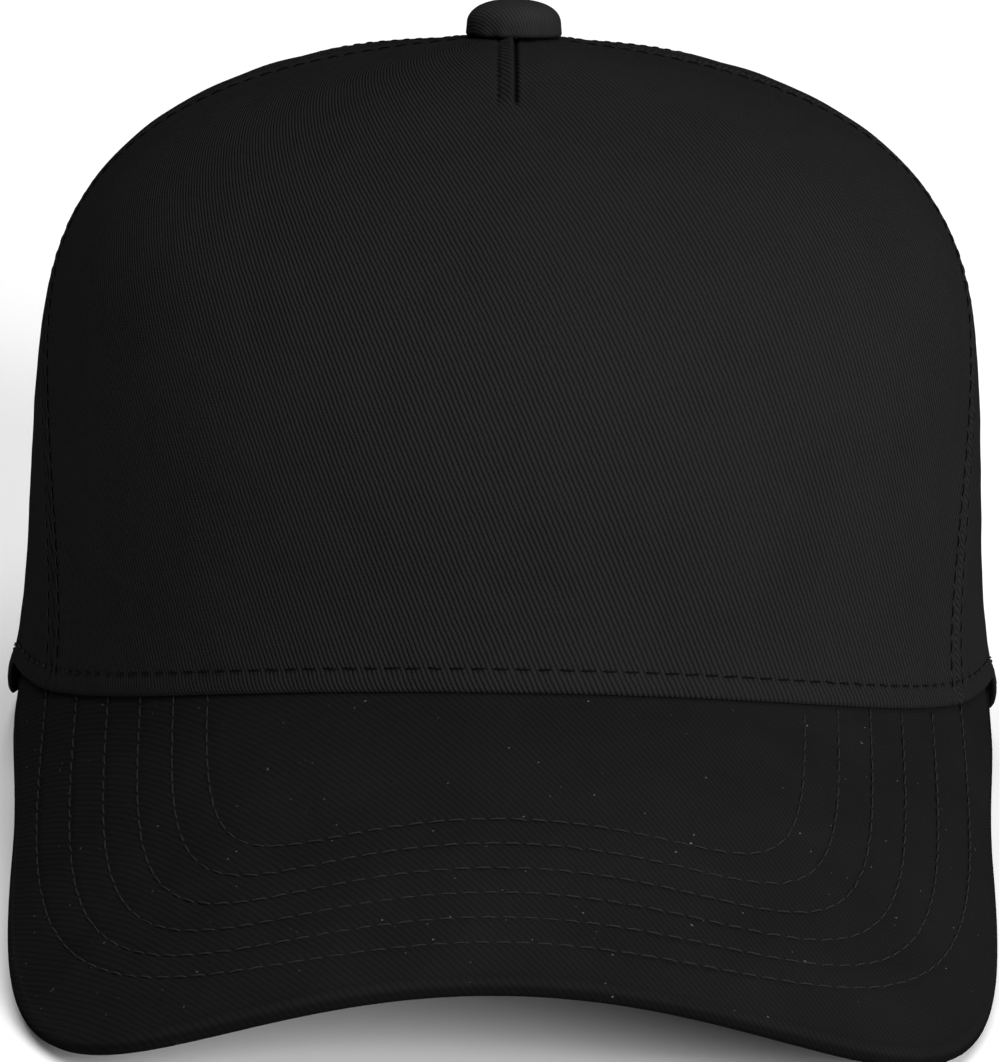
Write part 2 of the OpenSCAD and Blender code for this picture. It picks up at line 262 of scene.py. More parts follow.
def stitches(name, runs, pitch, long, thick, material, lift=0.1, seed=1, body=BODY):
    """Rows of sewn thread: each stitch is a short bowed tube whose ends dive into the cloth."""
    rings, sides = 7, 6
    t = np.linspace(-1, 1, rings)
    turn = np.arange(sides) * 2 * np.pi / sides
    rng = np.random.default_rng(seed)
    all_points, all_faces, base = [], [], 0
    ring = grid_faces(rings, sides, closed=True)
    for points, normals in runs:
        fine, fine_n = resample(points, normals, pitch / 8)
        count = (len(fine) - 1) // 8
        for k in range(count):
            mid = k * 8 + 4
            if mid + 4 >= len(fine):
                break
            c, n = fine[mid], fine_n[mid]
            d = unit(fine[mid + 3] - fine[mid - 3])
            side = unit(np.cross(d, n))
            d = unit(d + side * rng.normal(0, 0.05))
            size = thick * rng.uniform(0.92, 1.08)
            reach = long * rng.uniform(0.93, 1.04) / 2
            high = lift + size * (0.55 - 1.25 * np.abs(t) ** 3.5)
            wide = size * (1 - 0.35 * np.abs(t) ** 4)
            centre = c + d * (t * reach)[:, None] + n * high[:, None]
            tube = (
                centre[:, None] + side * (np.cos(turn) * wide[:, None])[..., None]
                + n * (np.sin(turn) * 0.8 * wide[:, None])[..., None]
            )
            all_points.append(tube.reshape(-1, 3))
            all_faces.append(ring + base)
            caps = np.array([[0, 5, 4, 3], [0, 3, 2, 1]])
            all_faces.append(caps + base)
            all_faces.append(caps[:, ::-1] + base + (rings - 1) * sides)
            base += rings * sides
    return piece(name, np.concatenate(all_points), np.concatenate(all_faces), material, body=body)


# ---------------------------------------------------------------- materials
def material(name, slot):
    m = bpy.data.materials.new(name)
    m.use_nodes = True
    m["slot"] = slot
    return m, m.node_tree, m.node_tree.nodes["Principled BSDF"]


class Value:
    """A shader value that arithmetic can be written on: each operation adds a math node."""

    def __init__(self, tree, socket):
        self.tree, self.socket = tree, socket

    def to(self, socket):
        self.tree.links.new(self.socket, socket)

    def op(self, kind, other=None):
        node = self.tree.nodes.new("ShaderNodeMath")
        node.operation = kind
        self.to(node.inputs[0])
        if isinstance(other, Value):
            other.to(node.inputs[1])
        elif other is not None:
            node.inputs[1].default_value = other
        return Value(self.tree, node.outputs[0])

    def __add__(self, other):
        return self.op("ADD", other)

    def __sub__(self, other):
        return self.op("SUBTRACT", other)

    def __mul__(self, other):
        return self.op("MULTIPLY", other)

    def __pow__(self, other):
        return self.op("POWER", other)


def noise(tree, vector, scale, detail=3.0, rough=0.6):
    n = tree.nodes.new("ShaderNodeTexNoise")
    n.inputs["Scale"].default_value = scale
    n.inputs["Detail"].default_value = detail
    n.inputs["Roughness"].default_value = rough
    tree.links.new(vector, n.inputs["Vector"])
    return Value(tree, n.outputs["Fac"])


def object_mm(tree):
    c = tree.nodes.new("ShaderNodeTexCoord")
    s = tree.nodes.new("ShaderNodeVectorMath")
    s.operation = "SCALE"
    s.inputs["Scale"].default_value = 1000.0
    tree.links.new(c.outputs["Object"], s.inputs[0])
    return s.outputs[0]


def cloth_uv(tree):
    """The cloth's own two coordinates, in decimetres."""
    uv = tree.nodes.new("ShaderNodeUVMap")
    uv.uv_map = "UVMap"
    split = tree.nodes.new("ShaderNodeSeparateXYZ")
    tree.links.new(uv.outputs[0], split.inputs[0])
    return Value(tree, split.outputs[0]), Value(tree, split.outputs[1])


def ramp(value, stops):
    n = value.tree.nodes.new("ShaderNodeValToRGB")
    while len(n.color_ramp.elements) < len(stops):
        n.color_ramp.elements.new(0.5)
    for e, (at, colour) in zip(n.color_ramp.elements, stops):
        e.position = at
        e.color = (*colour, 1)
    value.to(n.inputs[0])
    return n.outputs[0]


def bump(height, shader, depth):
    n = height.tree.nodes.new("ShaderNodeBump")
    n.inputs["Strength"].default_value = 1.0
    n.inputs["Distance"].default_value = depth * MM
    height.to(n.inputs["Height"])
    height.tree.links.new(n.outputs[0], shader.inputs["Normal"])


def shade(colour, factor):
    return tuple(min(1, c * factor) for c in colour)


def twill(name, slot, colour, lean, pitch=0.86, deep=0.2, lint=0.0, painted_shade=0.0, contrast=1.0):
    """Twill cloth: slanting cords of short floats, dark between the cords, with a little fuzz.

    lean is the cords' slope across the cloth; dim is how much the mesh's "edge" attribute darkens it, as
    painted shade in a fold's gap and on a rolled edge.
    """
    m, tree, shader = material(name, slot)
    u, v = (way * 100.0 for way in cloth_uv(tree))
    ca, sa = math.cos(math.radians(lean)), math.sin(math.radians(lean))
    across = u * (sa / pitch) + v * (ca / pitch)
    run = v * (sa / FLOAT_LONG) - u * (ca / FLOAT_LONG)
    place = object_mm(tree)
    across = across + noise(tree, place, 0.35, 2.0) * 0.45
    cord = (across.op("FRACT") * math.pi).op("SINE") ** 0.7
    run = run + across.op("FLOOR") * 0.37
    fleck = (run.op("FRACT") * math.pi).op("SINE")
    fuzz = noise(tree, place, 6.0, 4.0, 0.7)
    patch = noise(tree, place, 0.06, 3.0)
    height = cord * (fleck * 0.3 + 0.7) + fuzz * 0.35
    seen = (height - 0.6) * contrast + 0.6
    tone = (seen * 0.85 + 0.25) * (patch * 0.5 + 0.75)
    # painted shade: the "edge" attribute darkens the cloth's colour in the tuck's fold gap and on the
    # visor's rolled edge, where shade falls
    if painted_shade:
        edge = tree.nodes.new("ShaderNodeAttribute")
        edge.attribute_name = "edge"
        tone = tone * (Value(tree, edge.outputs["Fac"]) * -painted_shade + 1.0)
    tint = ramp(tone, [(0.0, shade(colour, 0.12)), (0.55, colour), (1.0, shade(colour, 1.75))])
    if lint:
        speck = noise(tree, place, 1.1, 1.0, 0.4).op("GREATER_THAN", 1 - lint)
        mix = tree.nodes.new("ShaderNodeMix")
        mix.data_type = "RGBA"
        speck.to(mix.inputs[0])
        tree.links.new(tint, mix.inputs[6])
        mix.inputs[7].default_value = (0.06, 0.06, 0.062, 1)
        tint = mix.outputs[2]
    tree.links.new(tint, shader.inputs["Base Color"])
    (fuzz * 0.16 + 0.72).to(shader.inputs["Roughness"])
    shader.inputs["Specular IOR Level"].default_value = 0.0
    shader.inputs["Sheen Weight"].default_value = 0.0
    bump(height, shader, deep)
    return m


def weave(name, slot, colour, pitch, deep, open_holes=0.0):
    """Plain weave: threads over and under both ways, with dark holes where it is open."""
    m, tree, shader = material(name, slot)
    over, under = ((way * (100.0 * math.pi / pitch)).op("SINE") for way in cloth_uv(tree))
    fuzz = noise(tree, object_mm(tree), 5.0, 3.0, 0.7)
    height = (over * under).op("ABSOLUTE") ** (0.5 + open_holes) + fuzz * 0.3
    stops = [(0.05, shade(colour, 0.4 - 0.3 * open_holes)), (0.6, colour), (1.0, shade(colour, 1.15))]
    tree.links.new(ramp(height, stops), shader.inputs["Base Color"])
    shader.inputs["Roughness"].default_value = 0.85
    shader.inputs["Specular IOR Level"].default_value = 0.1
    shader.inputs["Sheen Weight"].default_value = 0.02
    shader.inputs["Sheen Roughness"].default_value = 0.5
    bump(height, shader, deep)
    return m


def thread(name, slot, colour, shine=0.55):
    m, tree, shader = material(name, slot)
    strand = noise(tree, object_mm(tree), 9.0, 2.0, 0.6)
    stops = [(0.3, shade(colour, 0.6)), (0.7, shade(colour, 1.5))]
    tree.links.new(ramp(strand, stops), shader.inputs["Base Color"])
    shader.inputs["Roughness"].default_value = shine
    shader.inputs["Specular IOR Level"].default_value = 0.02
    shader.inputs["Sheen Weight"].default_value = 0.0
    bump(strand, shader, 0.05)
    return m


def moulded(name, slot, colour, rough=0.42, grain=0.02):
    m, tree, shader = material(name, slot)
    place = object_mm(tree)
    fine = noise(tree, place, 3.0, 4.0, 0.6)
    stops = [(0.3, shade(colour, 0.85)), (0.7, shade(colour, 1.15))]
    tree.links.new(ramp(noise(tree, place, 0.12, 2.0), stops), shader.inputs["Base Color"])
    (fine * 0.2 + (rough - 0.1)).to(shader.inputs["Roughness"])
    bump(fine, shader, grain)
    return m


def restyle(nodes, skin_material):
    """Gives CAD nodes that stay as they are a better material."""
    for node in nodes:
        shown = bpy.data.objects[node].data.materials
        shown.clear()
        shown.append(skin_material)


BLACK = (0.0075, 0.0075, 0.0078)
PANEL = twill("panel_twill", "panel_cloth", BLACK, 66, pitch=0.8, deep=0.3, painted_shade=0.95)
VISOR_BLACK = (0.0047, 0.0047, 0.0049)
VISOR = twill("visor_twill", "visor_cloth", VISOR_BLACK, -50, 0.95, 0.07, 0.2, painted_shade=0.45, contrast=0.4)
BUTTON = twill("button_twill", "button_cloth", (0.0105, 0.0105, 0.011), 60, 0.62, 0.1, contrast=0.5)
BINDING = weave("binding_weave", "binding_cloth", (0.01, 0.01, 0.0105), 0.45, 0.12)
TAPE = weave("tape_weave", "seam_tape", (0.014, 0.014, 0.0145), 0.5, 0.14)
BAND = twill("sweatband_twill", "sweatband_cloth", (0.012, 0.012, 0.0125), 45, pitch=0.6)
BUCKRAM = weave("buckram_net", "buckram", (0.66, 0.64, 0.58), 1.1, 0.3, open_holes=0.6)
FOAM = weave("foam_fleece", "foam", (0.6, 0.6, 0.57), 0.7, 0.2)
THREAD = thread("sewing_thread", "panel_cloth", (0.0022, 0.0022, 0.0023))
VISOR_THREAD = thread("visor_thread", "visor_cloth", (0.0135, 0.0135, 0.014))
EYELET = thread("eyelet_thread_mat", "eyelet_thread", (0.014, 0.014, 0.0145), 0.5)
BOARD = moulded("visor_board_mat", "visor_board", (0.72, 0.72, 0.69), 0.5)
METAL = moulded("button_metal_mat", "button_metal", (0.62, 0.62, 0.61), 0.34, 0.01)
METAL.node_tree.nodes["Principled BSDF"].inputs["Metallic"].default_value = 1.0
PLASTIC = moulded("strap_plastic_mat", "strap_plastic", (0.012, 0.012, 0.0125), 0.4)


# ---------------------------------------------------------------- crown panels
def pruned(values, gap):
    out = [values[0]]
    for v in values[1:]:
        if v - out[-1] >= gap:
            out.append(v)
    out[-1] = values[-1]
    return np.array(out)


def crown_rows():
    """Rows of s: even along the cloth, closer in the hem and where the rear arch closes."""
    fine = np.linspace(0, END_S, 4000)
    p = skin(60.0, fine)
    length = np.concatenate([[0], np.cumsum(np.linalg.norm(np.diff(p, axis=0), axis=1))])
    even = np.interp(np.arange(0, length[-1], 0.9), length, fine)
    hem = np.array([0, 0.15, 0.35, 0.6, 0.9, 1.3, 1.8, 2.4, 3.0, 3.4, 3.8, 4.2, 4.8]) / 254
    arch = ARCH_TOP * np.sin(np.radians(np.linspace(60, 90, 16)))
    return pruned(np.sort(np.concatenate([even, hem, arch, [END_S]])), 0.0004)


ROWS = crown_rows()


MID_COLS, MID_ZONE = 9.9, 5.0  # the front panel's close columns cover this much each side


def panel_cols(width, middle=0.0):
    """Columns from 0 to 1: close together beside both seams, and in the middle if asked."""
    edge = np.array([0, 0.15, 0.3, 0.5, 0.75, 1.0, 1.3, 1.7, 2.1, 2.45, 2.8, 3.15, 3.6, 4.2, 5, 6, 7])
    inner = np.arange(8.3, width - 8.3, 1.35)
    if middle:
        inner = inner[np.abs(inner - width / 2) > middle]
        inner = np.concatenate([inner, width / 2 + np.arange(-middle, middle + 0.1, 0.45)])
    return np.sort(np.concatenate([edge, inner, width - edge])) / width


def seam_relief(d, run, allowance=6.5):
    """How far cloth stands off beside a topstitched seam, d from the seam and run along it."""
    fold = -0.62 * np.exp(-((d / 0.6) ** 2))
    pull = 0.55 + 0.45 * np.cos(2 * np.pi * run / SEAM_PITCH)
    row = -0.2 * np.exp(-(((d - SEAM_STITCH) / 0.5) ** 2)) * pull
    puff = 0.14 * np.exp(-(((d - 1.5) / 0.75) ** 2)) * (1.3 - 0.3 * pull)
    under = 0.24 * (1 - smooth(allowance - 0.9, allowance + 0.9, d))
    return fold + row + puff + under


def hem_relief(e, run):
    """The turned-up hem: rounded bottom edge, a stitched line, a ridge of folded cloth."""
    edge = -0.55 * np.clip(1 - e / 0.9, 0, 1) ** 2
    pull = 0.5 + 0.5 * np.cos(2 * np.pi * run / HEM_PITCH)
    row = -0.22 * np.exp(-(((e - HEM_STITCH) / 0.55) ** 2)) * (0.4 + 0.6 * pull)
    puff = 0.16 * np.exp(-(((e - 1.9) / 1.1) ** 2)) * (1.25 - 0.25 * pull)
    return edge + row + puff


PUNCHED_R = 3.8  # cloth is cut away this far from an eyelet's centre
DART_S = 0.785  # the tuck ends here, and starts under the button
DART_STITCH, DART_EDGE = -2.9, -0.3


def dart_gap(x):
    """1 in the narrow gap at the tuck's fold, 0 away from it."""
    return np.exp(-(((x - DART_EDGE - 0.6) / 0.42) ** 2))


def dart_relief(x, s):
    """The tuck sewn into the top of the front panel, folded to the left."""
    live = smooth(DART_S - 0.004, DART_S + 0.02, s)
    up = smooth(DART_STITCH + 0.1, DART_EDGE, x)
    down = 1 - smooth(DART_EDGE - 0.05, DART_EDGE + 0.35, x)
    ridge = 0.75 * up * down
    gutter = -0.5 * dart_gap(x)
    gutter -= 0.22 * np.exp(-(((x - DART_EDGE - 2.2) / 1.8) ** 2))
    sewn = -0.3 * np.exp(-(((x - DART_STITCH) / 0.3) ** 2))
    end = 0.2 * np.exp(-(((s - DART_S + 0.012) / 0.02) ** 2) - ((x + 1.5) / 4) ** 2)
    return (ridge + gutter + sewn) * live + end


def panel_grid(lo, hi, width, soft, front=False, rear=False):
    """The outer face of one panel, with its cloth coordinates."""
    s = ROWS[:, None]
    t = panel_cols(width, MID_COLS if front else 0.0)[None, :]
    a, b = lo(s), hi(s)
    th = a + (b - a) * t
    s = np.broadcast_to(s, th.shape)
    if front:
        half = along(skin(th, s), 1)[:, -1:] / 2
        edge, zone = MID_COLS / width, MID_ZONE / (2 * half)
        x = t - 0.5
        outer = np.sign(x) * (zone + (np.abs(x) - edge) * (0.5 - zone) / (0.5 - edge))
        t = 0.5 + np.where(np.abs(x) <= edge + 1e-6, x * zone / edge, outer)
        th = a + (b - a) * t
    base = skin(th, s)
    across = along(base, 1)
    up = along(base, 0)
    left, right = across, across[:, -1:] - across
    relief = np.zeros(th.shape)
    cols = th.shape[1]
    seams = [(left, up[:, :1])]
    if not rear:
        seams.append((right, up[:, -1:]))
    else:
        above = smooth(0.0, 0.02, ROWS - ARCH_TOP)[:, None]
        relief += above * seam_relief(right, up[:, -1:])
    for d, run in seams:
        relief += seam_relief(d, run)
    near = np.minimum(left, right)
    bottom = along(base[:1], 1)
    relief += hem_relief(up, bottom)
    inside = smooth(2, 22, near) * smooth(3, 20, up)
    relief += soft * inside * waves(base, 5, 70)
    relief += 0.35 * soft * inside * waves(base, 8, 28)
    relief += 0.05 * waves(base, 11, 9) * smooth(1, 6, near)
    if front:
        relief += dart_relief(across - across[:, cols // 2][:, None], s)
    middle = across[:, cols // 2][:, None]
    if rear:
        whole = a + (180 - a) * np.linspace(0, 1, cols)[None, :]
        middle = along(skin(whole, s), 1)[:, -1:] / 2
    u = across - middle
    v = base[:1, :, 2] + up
    points = base + skin_out(th, s) * relief[..., None]
    return points, np.stack([u, v], -1), th, s, relief


def row_s(i):
    if i <= 8:
        return ARCH_TOP * math.sin(math.radians(90 * i / 8))
    return ARCH_TOP + (END_S - ARCH_TOP) * (i - 8) / 20


def seat(lo, hi):
    c = []
    for i in (14, 15):
        s = row_s(i)
        a, b = float(lo(s)), float(hi(s))
        c += [skin(a + (b - a) * j / 9, s) for j in (4, 5)]
    z = unit(np.cross(c[1] - c[2], c[3] - c[0]))
    x = unit(np.cross([0, 0, 1], z))
    return sum(c) / 4, x, np.cross(z, x), z


SIDE_SEAT, REAR_SEAT = seat(front_seam, back_seam), seat(back_seam, arch_edge)


def mirrored(points):
    out = points.copy()
    out[..., 0] *= -1
    return out


def add_panel(name, grid, uv, flip=False, hole=None):
    faces = grid_faces(*grid.shape[:2])
    if hole is not None:
        centres = grid.reshape(-1, 3)[faces].mean(1)
        faces = faces[np.linalg.norm(centres - hole, axis=1) > PUNCHED_R]
    if flip:
        grid, uv = mirrored(grid), uv * [-1, 1]
    if flip:
        faces = faces[:, ::-1]
    obj = piece(name + "_cloth", grid, faces, PANEL, uv, replaces=[name])
    thicken(obj, CLOTH_T - 0.05)
    return cloth_sheet(obj, grid)


FRONT = panel_grid(lambda s: -front_seam(s), front_seam, 205, 0.08, front=True)
SIDE = panel_grid(front_seam, back_seam, 88, 0.18)
REAR = panel_grid(back_seam, arch_edge, 84, 0.2, rear=True)

front = add_panel("front_panel", FRONT[0], FRONT[1])
# painted shade: the material darkens the narrow gap at the tuck's fold, where shade falls in the crease
set_painted_shade(front, dart_gap(FRONT[1][..., 0]) * smooth(DART_S, DART_S + 0.02, FRONT[3]))
for flip, side in ((False, "right"), (True, "left")):
    add_panel("side_panel_" + side, SIDE[0], SIDE[1], flip, SIDE_SEAT[0])
    add_panel("back_panel_" + side, REAR[0], REAR[1], flip, REAR_SEAT[0])


# ---------------------------------------------------------------- crown stitching
def at_distance(points, from_edge, column):
    """The line of a grid's points that lies from_edge away from a side column."""
    d = along(points, 1)
    if column:
        d = d[:, -1:] - d
    line = []
    for i in range(len(points)):
        order = np.argsort(d[i])
        line.append([np.interp(from_edge, d[i][order], points[i, order, k]) for k in range(3)])
    return np.array(line)


def side_run(panel, from_edge, column, s0, s1):
    points, normals = panel[0], skin_out(panel[2], panel[3])
    keep = (ROWS >= s0) & (ROWS <= s1)
    line = at_distance(points, from_edge, column)[keep]
    edge = normals[:, -4 if column else 3][keep]
    return line, edge


def both_sides(runs):
    return runs + [(mirrored(p), mirrored(n)) for p, n in runs]


HIGH = 0.95
seam_runs = both_sides(
    [
        side_run(FRONT, SEAM_STITCH, 1, 0.012, HIGH),
        side_run(SIDE, SEAM_STITCH, 0, 0.012, HIGH),
        side_run(SIDE, SEAM_STITCH, 1, 0.012, HIGH),
        side_run(REAR, SEAM_STITCH, 0, 0.012, HIGH),
        side_run(REAR, SEAM_STITCH, 1, ARCH_TOP + 0.035, HIGH),
    ]
)
stitches("seam_stitches", seam_runs, SEAM_PITCH, 2.2, 0.2, THREAD, lift=0.02)


def hem_run(th0, th1, height, out=0.0):
    th = np.linspace(th0, th1, 240)
    s = s_at_height(th, height)
    return skin(th, s) + out * skin_out(th, s), skin_out(th, s)


stitches("hem_stitches", [hem_run(-146, 146, HEM_STITCH)], HEM_PITCH, 2.5, 0.17, THREAD, lift=0.02, seed=3)

dart_keep = ROWS[(ROWS > DART_S + 0.012) & (ROWS < 0.94)]
dart_r = np.linalg.norm(skin(0.0, dart_keep)[:, :2] - [0, APEX_Y], axis=1)
dart_th = np.degrees(DART_STITCH / np.maximum(8, dart_r))
dart_run = (skin(dart_th, dart_keep), skin_out(dart_th, dart_keep))
stitches("dart_stitches", [dart_run], 2.6, 1.9, 0.2, THREAD, lift=-0.02, seed=4)


# ---------------------------------------------------------------- inside of the crown
def patch(rows, lo, hi, depth, cols=60, bulge=0.0):
    """A layer between two seams: outer points, cloth coordinates and the grid's th and s."""
    s = np.asarray(rows)[:, None]
    t = np.linspace(0, 1, cols)[None, :]
    a, b = lo(s), hi(s)
    th = a + (b - a) * t
    s = np.broadcast_to(s, th.shape)
    deep = depth + bulge * (1 - (2 * t - 1) ** 2)
    points = layer(th, s, np.broadcast_to(deep, th.shape))
    across = along(points, 1)
    cloth = np.stack([across - across[:, -1:] / 2, along(points, 0)], -1)
    return points, cloth, th, s


def add_lining(name, node, grid, cloth, skin_material, thickness, flip=False):
    if flip:
        grid = mirrored(grid)
    faces = grid_faces(*grid.shape[:2])
    faces = faces[:, ::-1] if flip else faces
    obj = piece(name, grid, faces, skin_material, cloth, replaces=[node])
    thicken(obj, thickness)
    return cloth_sheet(obj, grid)


LOW = ROWS[(ROWS > 0.04) & (ROWS < 0.93)][::2]
buckram, cloth, _, _ = patch(LOW, lambda s: -front_seam(s), front_seam, 0.86, 90)
add_lining("front_buckram_net", "front_buckram", buckram, cloth, BUCKRAM, 0.55)

TAPE_HALF = 6.0


def half_tape(th, s):
    p = skin(th, s)
    return np.degrees(TAPE_HALF / np.hypot(p[..., 0], p[..., 1] - APEX_Y))


def tape(seam, low):
    rows = ROWS[(ROWS >= low) & (ROWS < 0.94)]
    return patch(
        rows,
        lambda s: seam(s) - half_tape(seam(s), s),
        lambda s: seam(s) + half_tape(seam(s), s),
        1.72,
        15,
        0.3,
    )


tape_runs = []
for name, seam, low, sides in (
    ("seam_tape_front", front_seam, 0.04, (0, 1)),
    ("seam_tape_back", back_seam, 0.04, (0, 1)),
    ("seam_tape_center_back", lambda s: 180 + 0 * s, ARCH_TOP + 0.045, (0,)),
):
    grid, cloth, th, s = tape(seam, low)
    out = skin_out(th, s)
    runs = [(grid[:, j] - out[:, j] * 0.5, -out[:, j]) for j in (2, 12)]
    for flip in sides:
        side = "" if len(sides) == 1 else ("_left" if flip else "_right")
        add_lining(name + side + "_cloth", name + side, grid, cloth, TAPE, 0.45, flip)
    tape_runs += both_sides(runs) if len(sides) > 1 else runs
stitches("tape_stitches", tape_runs, SEAM_PITCH, 2.1, 0.2, THREAD, lift=0.05, seed=7)


def strip(th0, th1, cols, profile):
    """A band that follows the rim: profile is a list of (height above the rim, depth)."""
    th = np.linspace(th0, th1, cols)[None, :]
    h, d = np.array(profile, float).T
    th, h = np.broadcast_arrays(th, h[:, None])
    points = layer(th, s_at_height(th, h), np.broadcast_to(d[:, None], th.shape))
    return points, th, h


def inward_relief(points, th, h, amount):
    out = skin_out(th, s_at_height(th, h))
    return points - out * amount[..., None]


band_profile = [(4.6, 2.5), (3.2, 2.5), (2.2, 2.6), (1.65, 2.95), (1.45, 3.4)]
turned_under = len(band_profile)
band_profile += [(1.5, 3.75), (1.7, 4.1), (2.3, 4.3)]
band_profile += [(h, 4.35) for h in np.arange(3.2, 30.6, 0.7)]
band_profile += [(31.2, 4.33), (31.7, 4.22), (31.95, 4.0), (31.8, 3.82), (31.2, 3.75)]
band_profile += [(h, 3.72) for h in (30, 28, 25, 22)]
band, band_th, band_h = strip(-146, 146, 560, band_profile)
run = along(band, 1)
band_row = np.arange(len(band))
front_face = ((band_row >= turned_under) & (band_row < len(band) - 6))[:, None]
swell = smooth(3, 8, band_h) * (1 - smooth(24, 28.5, band_h))
pucker = 0.12 * waves(band, 41, 9) + 0.25 * waves(band, 42, 30)
dip = np.exp(-(((band_h - 28.8) / 0.7) ** 2)) + np.exp(-(((band_h - 3.4) / 0.6) ** 2))
lift = (swell * (0.55 + pucker) - 0.25 * dip) * front_face
band = inward_relief(band, band_th, band_h, lift)
cloth = np.stack([run, along(band, 0)], -1)
faces = grid_faces(*band.shape[:2])[:, ::-1]
obj = piece("sweatband_cloth_band", band, faces, BAND, cloth, replaces=["sweatband"])
thicken(obj, 0.32)
cloth_sheet(obj, band)
band_runs = []
for height, depth in ((28.8, 4.2), (3.4, 4.2)):
    line, th, h = strip(-145.5, 145.5, 700, [(height, depth)])
    band_runs.append((line[0], -skin_out(th[0], s_at_height(th[0], h[0]))))
stitches("sweatband_stitches", band_runs, 3.2, 2.4, 0.2, THREAD, lift=0.05, seed=8)

foam_profile = [(3.0, 3.2), (3.25, 3.0), (4.2, 2.92)]
foam_profile += [(h, 2.9) for h in np.arange(6, 28, 2.5)]
foam_profile += [(28.6, 2.92), (29.6, 3.0), (29.9, 3.2), (29.6, 3.42), (28.6, 3.5)]
foam_profile += [(h, 3.52) for h in np.arange(27, 5, -2.5)]
foam_profile += [(4.2, 3.5), (3.25, 3.42)]
FOAM_COLS = 300
foam, _, _ = strip(-145, 145, FOAM_COLS, foam_profile)
count = len(foam)
faces = list(np.roll(grid_faces(count, FOAM_COLS, looped=True)[:, ::-1], 1, axis=1))
ends = [
    [j * FOAM_COLS for j in range(count)],
    [j * FOAM_COLS + FOAM_COLS - 1 for j in reversed(range(count))],
]
cloth = np.stack([along(foam, 1), along(foam, 0)], -1)
obj = piece("sweatband_padding", foam, faces + ends, FOAM, cloth, replaces=["sweatband_foam"])


# ---------------------------------------------------------------- binding of the rear arch
def sweep_arch(profile, steps=150):
    """Sweeps a profile of (distance into the cloth, depth) along the edge of the rear opening."""
    a = np.linspace(0, 90, steps)
    side_s = ARCH_TOP * sind(a)
    side_th = arch_edge(side_s)
    th = np.concatenate([side_th, 360 - side_th[-2::-1]])
    s = np.concatenate([side_s, side_s[-2::-1]])
    per_th = np.linalg.norm(skin(th + 0.5, s) - skin(th - 0.5, s), axis=-1)
    low = np.maximum(0, s - 0.004)
    per_s = np.linalg.norm(skin(th, s + 0.004) - skin(th, low), axis=-1) / (s + 0.004 - low)
    t = np.stack([np.gradient(th) * per_th, np.gradient(s) * per_s], -1)
    t /= np.linalg.norm(t, axis=-1, keepdims=True)
    g = np.stack([-t[:, 1], t[:, 0]], -1)
    g[0], g[-1] = (-1, 0), (1, 0)
    e, d = np.array(profile, float).T
    th2 = th + e[:, None] * g[:, 0] / per_th
    s2 = np.maximum(0, s + e[:, None] * g[:, 1] / per_s)
    return layer(th2, s2, np.broadcast_to(d[:, None], th2.shape)), th2, s2


MID = 0.39  # halfway through the panel and both turnings
flange = [(6.5, -0.32), (6.3, -0.5), (5.8, -0.6), (5.3, -0.56), (5.0, -0.48), (4.7, -0.56)]
flange += [(4.1, -0.62), (3.2, -0.66), (2.3, -0.67), (1.4, -0.66), (0.8, -0.64)]
fold = [
    (0.45 - 1.0 * math.cos(math.radians(a)), MID + 1.03 * math.sin(math.radians(a)))
    for a in range(-75, 76, 15)
]
binding_profile = flange + fold + [(e, 2 * MID - d) for e, d in reversed(flange)]
binding, _, _ = sweep_arch(binding_profile)
binding[..., 2] = np.maximum(binding[..., 2], FLOOR_GAP)
cloth = np.stack([along(binding, 1), along(binding, 0)], -1)
faces = grid_faces(*binding.shape[:2])[:, ::-1]
obj = piece("arch_binding_cloth", binding, faces, BINDING, cloth, replaces=["arch_binding"])
thicken(obj, 0.4)
cloth_sheet(obj, binding)
arch_runs = []
for depth, way in ((-0.52, 1), (2 * MID + 0.52, -1)):
    line, th, s = sweep_arch([(5.0, depth)], 300)
    arch_runs.append((line[0], way * skin_out(th[0], s[0])))
stitches("binding_stitches", arch_runs, 2.9, 2.2, 0.2, THREAD, lift=0.0, seed=9)


# ---------------------------------------------------------------- eyelets
EYELET_STITCHES = 46


def eyelet(name, frame3, flip):
    centre, x, y, z = frame3
    profile = [(1.72, -1.3), (1.66, -0.5), (1.72, 0.2), (1.95, 0.66), (2.4, 0.9), (3.1, 0.96)]
    profile += [(3.8, 0.82), (4.35, 0.5), (4.68, 0.12), (4.7, -0.12), (4.4, -0.35), (3.4, -0.45)]
    profile += [(3.3, -0.95), (4.4, -1.05), (4.7, -1.25), (4.66, -1.5), (4.3, -1.8), (3.7, -1.98)]
    profile += [(3.0, -2.04), (2.3, -1.95), (1.9, -1.7)]
    r, h = np.array(profile).T
    turns = EYELET_STITCHES * 8
    phi = np.arange(turns) * 2 * np.pi / turns
    rr, pp = np.meshgrid(r, phi, indexing="ij")
    hh = np.broadcast_to(h[:, None], rr.shape)
    thread_top = np.abs(np.sin(pp * EYELET_STITCHES / 2)) ** 0.6 - 0.75
    outer = np.where(hh > -0.3, 1.0, -1.0)
    puff = smooth(1.7, 2.4, rr) * 0.2 * thread_top
    edge = 0.14 * np.sin(pp * EYELET_STITCHES * 0.5 + 0.7) * smooth(4.2, 4.7, rr)
    hh = hh + outer * puff
    rr = rr + edge - (1 - smooth(1.7, 2.1, rr)) * 0.12 * thread_top
    points = (
        centre + x * (rr * np.cos(pp))[..., None] + y * (rr * np.sin(pp))[..., None] + z * hh[..., None]
    )
    if flip:
        points = mirrored(points)
    faces = grid_faces(len(r), turns, closed=True, looped=True)
    faces = faces if flip else faces[:, ::-1]
    piece(name + "_thread", points, faces, EYELET, replaces=[name])


for name, frame3 in (("eyelet_side", SIDE_SEAT), ("eyelet_back", REAR_SEAT)):
    eyelet(name + "_right", frame3, False)
    eyelet(name + "_left", frame3, True)


